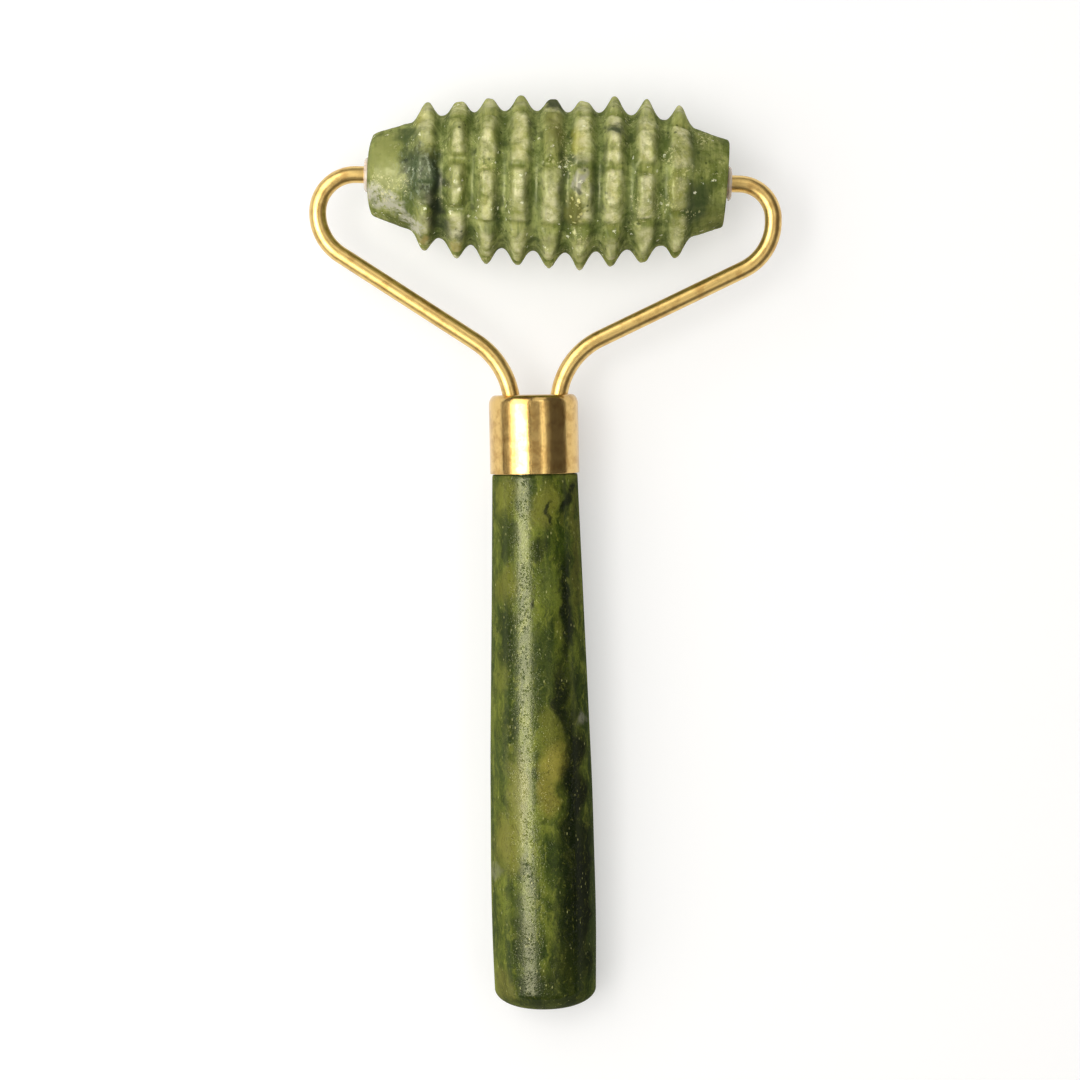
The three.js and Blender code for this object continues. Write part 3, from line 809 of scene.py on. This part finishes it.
# How pale each of them has worn, from 0 to 1.
TOP_WEAR = (
    (0.45, 0.3, 0.0, 0.15, 0.5),
    (0.25, 0.8, 0.5, 0.45, 0.75),
    (0.6, 0.9, 0.75, 0.8, 0.65),
    (0.85, 0.95, 0.8, 0.5, 0.6),
    (0.2, 0.2, 0.75, 0.85, 0.4),
    (0.8, 0.6, 0.75, 0.85, 0.5),
    (0.75, 1.0, 1.0, 0.95, 0.5),
    (1.0, 1.0, 0.9, 0.85, 0.75),
    (0.85, 0.9, 0.6, 0.55, 0.6),
)
HEAD_LANDS = (1.0, 1.8, 1.5, 1.5, 1.7, 1.8, 0.9, 0.9, 0.8)


def ring_middle(i):
    """Place of a ring along the roller's axis."""
    return RING_OFFSET + (i - (RING_COUNT - 1) / 2) * RING_PITCH + RING_SHIFT[i]


def ridge(distance):
    """Height of an uncut ridge, from 1 at its top to 0 at its foot."""
    span = RIDGE_REACH - RIDGE_LAND
    return np.clip((RIDGE_REACH - distance) / span, 0, 1) ** RIDGE_POWER


def facet_lands(random):
    """Land width of every facet: given where they face up, random elsewhere."""
    lands = random.uniform(1.3, 2.4, (RING_COUNT, FACETS))
    lands[:, :TOP_FACETS] = TOP_LANDS
    lands[:, TOP_FACETS] = random.uniform(1.0, 1.5, RING_COUNT)
    lands[:, 6:8] = random.uniform(0.9, 1.3, (RING_COUNT, 2))  # towards the tail
    lands[:, HEAD_FACET] = HEAD_LANDS
    lands[:, HEAD_FACET + 1] = np.array(HEAD_LANDS) + 0.5
    return lands


def facet_wear(random):
    """How pale every facet has worn, from 0 to 1."""
    wear = random.uniform(0.35, 0.95, (RING_COUNT, FACETS))
    wear[:, :TOP_FACETS] = TOP_WEAR
    return wear


def facet_edges(random):
    """Angle in degrees of each facet's start. Even ones start at a notch."""
    even = FIRST_NOTCH + np.arange(FACETS) * (360 / FACETS)
    edges = even[None, :] + random.uniform(-EDGE_SCATTER, EDGE_SCATTER, (RING_COUNT, FACETS))
    edges[:, WIDE_NOTCH] = [angle for angle, _ in WIDE_NOTCHES]
    edges[:, LOWER_NOTCH] = LOWER_NOTCHES
    edges[:, WIDE_NOTCH + 1] = (edges[:, WIDE_NOTCH] + edges[:, LOWER_NOTCH]) / 2
    edges[:, LOWER_NOTCH + 1] += 4
    return edges


def angle_gap(a, b):
    """Signed difference of two angles in degrees, between -180 and 180."""
    return (a - b + 180) % 360 - 180


def valley_radius(x):
    """Radius of the barrel between the rings."""
    pitches = np.abs(x - CROWN_OFFSET) / RING_PITCH
    return VALLEY_CROWN - BARREL_DROP * pitches**BARREL_POWER


def cut_ring(i, x, degrees, lands, wear, edges, random):
    """One ring over a grid of places x and angles: its tooth height, its paleness with a painted
    sheen across each land's middle, and its uncut height.
    """
    middle = ring_middle(i)
    distance = np.abs(x - middle)
    height = RIDGE_HEIGHT * ridge(distance)[:, None] * np.ones(len(degrees))
    full = height.copy()
    base = valley_radius(np.array(middle))
    ceiling = np.full((len(x), len(degrees)), np.inf)
    paleness = np.zeros(len(degrees))
    for k in range(FACETS):
        start = edges[i, k]
        width = angle_gap(edges[i, (k + 1) % FACETS], start)
        centre = start + width / 2
        level = base + RIDGE_HEIGHT * ridge(lands[i, k] / 2)
        lean = random.uniform(*FACET_LEAN)
        turn = random.uniform(*FACET_TURN)
        gap = angle_gap(degrees, centre)
        inside = np.abs(gap) <= width / 2 + 0.01
        plane = level / np.cos(np.radians(gap + turn)) * math.cos(math.radians(turn)) - base
        cut = plane[None, :] + (lean * (x - middle))[:, None]
        ceiling[:, inside] = np.minimum(ceiling, cut)[:, inside]
        paleness[inside] = wear[i, k]
    facet = ceiling < full - 0.02
    height = np.minimum(height, ceiling)
    for k in range(0, FACETS, 2):
        half, floor, head_slope, tail_slope = notch_shape(i, k, random)
        floor += WORN_NOTCHES if i == 0 else 0
        gap = np.radians(angle_gap(degrees, edges[i, k])) * base
        slope = np.where(gap < 0, head_slope, tail_slope)
        notch = floor * RIDGE_HEIGHT + np.maximum(0, np.abs(gap) - half) * slope
        facet &= notch[None, :] > height
        height = np.minimum(height, notch[None, :])
    # Painted highlight: each land is paler towards its middle, a sheen of the softbox put into the
    # wear.
    land_sheen = np.clip(1.1 - 0.45 * (x - middle - 0.15) ** 2, 0.4, 1)
    return height, facet * paleness[None, :] * land_sheen[:, None], full


def notch_shape(i, k, random):
    """Half width, floor and the steepness of both sides of ring i's notch before facet k."""
    if k == WIDE_NOTCH:
        return WIDE_NOTCHES[i][1], random.uniform(0.15, 0.4), random.uniform(1.2, 2.2), 3.2
    if k == LOWER_NOTCH:
        return random.uniform(0.3, 0.5), random.uniform(0.15, 0.3), 3.5, random.uniform(0.8, 1.4)
    return random.uniform(0.2, 0.45), random.uniform(0.2, 0.45), 3.2, random.uniform(0.8, 2.0)


def soften(grid, across, around):
    """Rounds every edge of a height grid a little: a small blur in both directions."""
    for axis, reach in ((0, across), (1, around)):
        steps = np.arange(-math.ceil(3 * reach), math.ceil(3 * reach) + 1)
        kernel = np.exp(-0.5 * (steps / reach) ** 2)
        kernel /= kernel.sum()
        rolled = (w * np.roll(grid, s, axis=axis) for w, s in zip(kernel, steps))
        grid = sum(rolled)
    return grid


END_BULGE = 0.65  # the left end is domed
CORNER_RADIUS = 6.2  # where the dome meets the left end's rounded corner
# Distance from the end and radius, from each end's corner up its cone.
LEFT_CONE = (
    (END_BULGE, CORNER_RADIUS), (0.8, 6.55), (1.2, 6.85), (3, 7.5), (5, 8.15), (8, 9.0), (9, 12),
)
RIGHT_CONE = ((0, 6.7), (0.12, 7.0), (0.45, 7.2), (3.8, 8.3), (5.8, 8.9), (8, 9.5), (9, 12))
SHARP_END = 2.5  # the envelope isn't smoothed this close to an end
END_FACE_RADII = (BORE_RADIUS, 3.0, 3.8, 4.6, 5.4, 6.0)
CORNER_ROWS = (0, 0.05, 0.12, 0.22, 0.34, 0.48)  # close rows round each corner
EVEN_ROWS = 316
EVEN_ROWS_START = 1.3  # from the left end
EVEN_ROWS_STOP = 0.65  # from the right end
RIGHT_SLANT = 0.33  # the right end leans back on the tail side
SLANT_REACH = 4  # how far in from the end it leans
SLANT_HALF_SPAN = 6.5
END_RELIEF = 0.35  # colours the cones and end faces between valley and flank
CONE_LENGTH = 6


def stone_envelope(x):
    """Radius without the teeth: rounded corners, a cone at each end and the barrel."""
    from_left, from_right = x + HALF_STONE, HALF_STONE - x
    radius = np.minimum(valley_radius(x), np.interp(from_left, *np.array(LEFT_CONE).T))
    radius = np.minimum(radius, np.interp(from_right, *np.array(RIGHT_CONE).T))
    smooth = soften(radius[:, None], 3, 1)[:, 0]
    near_end = np.minimum(from_left, from_right) < SHARP_END
    return np.where(near_end, radius, smooth)


def cut_teeth(x, degrees):
    """Tooth height, paleness with its painted sheen, and uncut height of all rings over a grid of
    places and angles.
    """
    random = np.random.default_rng(11)
    lands, edges, wear = facet_lands(random), facet_edges(random), facet_wear(random)
    height, wear_and_sheen, uncut = (np.zeros((len(x), len(degrees))) for _ in range(3))
    for i in range(RING_COUNT):
        ring, pale_and_sheen, full = cut_ring(i, x, degrees, lands, wear, edges, random)
        wear_and_sheen = np.where(ring > height, pale_and_sheen, wear_and_sheen)
        height = np.maximum(height, ring)
        uncut = np.maximum(uncut, full)
    return height, wear_and_sheen, uncut


def roughened(x, radius, teeth, across, up):
    """The radius with the ground surface's waves, and with chips that are deepest at the tips."""
    layers = (np.broadcast_to(x[:, None], radius.shape), radius * across, radius * up)
    points = np.stack(layers, -1).reshape(-1, 3)
    rough = 0.08 * wave(points, 1.6, seed=5) + 0.03 * wave(points, 0.4, seed=6)
    chips = np.clip(wave(points, 1.1, seed=7) - 0.55, 0, 1) * 0.9
    tips = (teeth / RIDGE_HEIGHT).reshape(-1)
    return radius + (rough - chips * tips).reshape(radius.shape)


def stone_rows(x, radius):
    """Place and radii of each ring of points: left end face, outside, right end face."""
    face_radii = np.array(END_FACE_RADII)
    dome = END_BULGE * ((face_radii - BORE_RADIUS) / (CORNER_RADIUS - BORE_RADIUS)) ** 2
    rows = [(d - HALF_STONE, np.full(ROLLER_SIDES, r)) for d, r in zip(dome, face_radii)]
    rows += list(zip(x, radius))
    rows += [(HALF_STONE, np.full(ROLLER_SIDES, r)) for r in face_radii[::-1]]
    return rows


def make_roller():
    """The ground stone, with its relief and its worn facets, painted sheen included, kept for the
    material.
    """
    degrees = np.arange(ROLLER_SIDES) * (360 / ROLLER_SIDES)
    across, up = -np.sin(np.radians(degrees)), np.cos(np.radians(degrees))
    corner = np.array(CORNER_ROWS)
    even = np.linspace(EVEN_ROWS_START, 2 * HALF_STONE - EVEN_ROWS_STOP, EVEN_ROWS)
    x = np.concatenate((END_BULGE + corner, even, 2 * HALF_STONE - corner[::-1])) - HALF_STONE
    height, wear_and_sheen, uncut = cut_teeth(x, degrees)
    middles = [ring_middle(i) for i in range(RING_COUNT)]
    drop = np.interp(x, [-HALF_STONE, *middles, HALF_STONE], [0, *RING_DROP, 0])
    teeth = soften(height, 1.4, 1)
    radius = stone_envelope(x)[:, None] + np.outer(drop, -across) + teeth
    rows = stone_rows(x, roughened(x, radius, teeth, across, up))
    points = np.concatenate(
        [np.stack((np.full(ROLLER_SIDES, place), r * across, r * up), -1) for place, r in rows]
    )
    slant = np.clip((points[:, 0] - HALF_STONE + SLANT_REACH) / SLANT_REACH, 0, 1) * RIGHT_SLANT
    points[:, 0] -= slant * np.clip(1 - points[:, 1] / SLANT_HALF_SPAN, 0, 2)
    faces = grid_faces(len(rows), ROLLER_SIDES, close_rows=True)
    piece = new_piece(
        "jade_roller", points, faces, ROLLER, ROLLER_BODY, "roller", 55
    )
    unworn_face = np.zeros(len(END_FACE_RADII) * ROLLER_SIDES)
    face_relief = np.full_like(unworn_face, END_RELIEF)
    cones = (np.abs(x) > HALF_STONE - CONE_LENGTH).astype(float)[:, None] * END_RELIEF
    relief = np.maximum(np.clip(uncut / RIDGE_HEIGHT, 0, 1), cones).reshape(-1)
    store(piece, "relief", np.concatenate((face_relief, relief, face_relief)))
    wear_and_sheen = soften(wear_and_sheen, 2.6, 1.2).reshape(-1)
    store(piece, "wear_and_sheen", np.concatenate((unworn_face, wear_and_sheen, unworn_face)))
    piece.data.materials.append(roller_jade())


# ---- Bushes and adhesive ------------------------------------------------------------

BUSH_SIDES = 64
BUSH_BORE = 1.48
SEAT_GAP = 0.02  # between the flange and the stone
FLANGE_FACE_RADIUS = 2.1
FLANGE_ROUNDING = (0.75, 0.58)  # across and along
SLEEVE_RADIUS = 2.45
SLEEVE_LENGTH = 8
SLEEVE_BEVEL = (0.2, 0.3)


def bush_outline():
    """Radius and depth below the stone's end. The flange stands above it."""
    return [
        (BUSH_BORE, -SEAT_GAP - FLANGE_ROUNDING[1]),
        *arc((FLANGE_FACE_RADIUS, -SEAT_GAP), FLANGE_ROUNDING, -90, 0, 10),
        (SLEEVE_RADIUS, -SEAT_GAP),
        (SLEEVE_RADIUS, SLEEVE_LENGTH - SLEEVE_BEVEL[1]),
        (SLEEVE_RADIUS - SLEEVE_BEVEL[0], SLEEVE_LENGTH),
        (BUSH_BORE, SLEEVE_LENGTH),
    ]


def make_bushes():
    """A flanged sleeve in each end of the stone's bore."""
    plastic = clear_plastic()
    for name, side in (("left_bush", -1), ("right_bush", 1)):
        outline = [(radius, side * (HALF_STONE - depth)) for radius, depth in bush_outline()]
        outline = outline[::-1] if side > 0 else outline
        points, faces = turned(outline, BUSH_SIDES, along_x=True)
        piece = new_piece(
            f"clear_{name}", points, faces, ROLLER, ROLLER_BODY, name, 35
        )
        piece.data.materials.append(plastic)


def dress_adhesive():
    """The hidden plug stays the CAD's own solid and only gets its material."""
    plug = frame["nodes"]["epoxy_plug"]
    plug.data.materials.clear()
    plug.data.materials.append(adhesive())


# ---- Stage, light and camera --------------------------------------------------------


FLOOR_HALF = 3.0


def make_floor():
    """A pale matt table that glows a little, so that it stays near white."""
    corners = [(x * FLOOR_HALF, y * FLOOR_HALF, 0) for x, y in ((-1, -1), (1, -1), (1, 1), (-1, 1))]
    mesh = bpy.data.meshes.new("floor")
    mesh.from_pydata(corners, [], [(0, 1, 2, 3)])
    floor = bpy.data.objects.new("floor", mesh)
    bpy.context.collection.objects.link(floor)
    s = Surface("floor_white", Roughness=0.9)
    s.shader.inputs["Base Color"].default_value = (0.6, 0.61, 0.65, 1)
    s.shader.inputs["Specular IOR Level"].default_value = 0.1
    s.shader.inputs["Emission Color"].default_value = (1, 1, 1, 1)
    s.shader.inputs["Emission Strength"].default_value = 0.42
    mesh.materials.append(s.material)


WARM = (1, 0.97, 0.88)
SHINE = "shine"  # seen only in reflections
FILL = "fill"  # seen only as soft light
BOTH = "both"
LIGHTS = (  # name, angle, distance, width, length, radiance, shift to the head, how it is seen
    ("softbox", -40, 0.45, 0.45, 1.0, 1.25, 0.1, BOTH),
    ("softbox_inner", -38, 0.455, 0.36, 0.7, 1.8, 0.1, SHINE),
    ("overhead_fill", -15, 0.8, 0.36, 0.5, 5.0, 0, FILL),
    ("softbox_core", -34, 0.46, 0.24, 0.24, 3.5, 0, SHINE),
    ("softbox_core_for_stone", -34, 0.47, 0.24, 0.46, 16.0, -0.05, SHINE),
    ("ceiling", 3, 1.2, 0.5, 1.5, 0.37, 0, BOTH),
    ("strip", 22.5, 0.6, 0.13, 0.9, 1.3, 0, BOTH),
    ("strip_glow", 29, 0.65, 0.25, 0.9, 0.22, 0, BOTH),
    ("left_glow", -75, 0.9, 0.3, 0.9, 0.3, 0, BOTH),
    ("head_panel", 0, 0.7, 0.3, 0.5, 0.8, 0, BOTH),
)
HEAD_PANEL_PLACE = (0.14, 0.52, 0.45)  # past the roller, turned to face the object
WORLD_COLOUR = (0.12, 0.11, 0.1, 1)


def area_light(name, angle, distance, width, length, radiance, headward, seen_as):
    """A warm panel tilted across X to face the object. Angle from overhead, + is right."""
    lamp = bpy.data.lights.new(name, "AREA")
    lamp.shape = "RECTANGLE"
    lamp.size, lamp.size_y = width, length
    lamp.energy = radiance * math.pi * width * length
    lamp.color = WARM
    light = bpy.data.objects.new(name, lamp)
    bpy.context.collection.objects.link(light)
    lean = math.radians(angle)
    light.location = (distance * math.sin(lean), headward, distance * math.cos(lean))
    light.rotation_euler = (0, lean, 0)
    light.visible_diffuse = seen_as != SHINE
    light.visible_glossy = seen_as != FILL
    return light


def make_lights():
    """A big softbox on the left, hottest in its middle, and weaker glows overhead and around.

    The stone reflects far less than the metal, so it has a brighter softbox core of its own.
    """
    lights = {row[0]: area_light(*row) for row in LIGHTS}
    lights["softbox_core"].data.shape = "ELLIPSE"
    lights["softbox_core_for_stone"].data.shape = "ELLIPSE"
    stone = bpy.data.collections.new("stone")
    for name in ("jade_handle", "jade_roller"):
        stone.objects.link(bpy.data.objects[name])
    lights["softbox_core_for_stone"].light_linking.receiver_collection = stone
    head = lights["head_panel"]
    head.location = HEAD_PANEL_PLACE
    head.rotation_euler = (-Vector(HEAD_PANEL_PLACE)).to_track_quat("-Z", "Y").to_euler()
    world = bpy.data.worlds.new("studio")
    world.use_nodes = True
    bpy.context.scene.world = world
    world.node_tree.nodes["Background"].inputs["Color"].default_value = WORLD_COLOUR


VIEW_CENTRE = (-0.0020, 0.0019)
VIEW_WIDTH = 0.1774  # across the frame, at the height of the roller's axis
VIEW_DISTANCE = 0.75
VIEW_ROLL = math.radians(-1.18)


def make_camera():
    """Looks straight down on the table, turned by a slight tilt."""
    data = bpy.data.cameras.new("camera")
    data.sensor_width = 36
    axis_height = spin_joint["pos_m"][2]
    data.lens = data.sensor_width * (VIEW_DISTANCE - axis_height) / VIEW_WIDTH
    data.clip_start, data.clip_end = 0.05, 20
    camera = bpy.data.objects.new("camera", data)
    camera.location = (*VIEW_CENTRE, VIEW_DISTANCE)
    camera.rotation_euler = (0, 0, VIEW_ROLL)
    bpy.context.collection.objects.link(camera)
    bpy.context.scene.camera = camera


make_camera()
make_handle()
make_ferrule()
make_arms()
make_roller()
make_bushes()
dress_adhesive()
make_floor()
make_lights()
bpy.context.scene.view_settings.view_transform = "Standard"
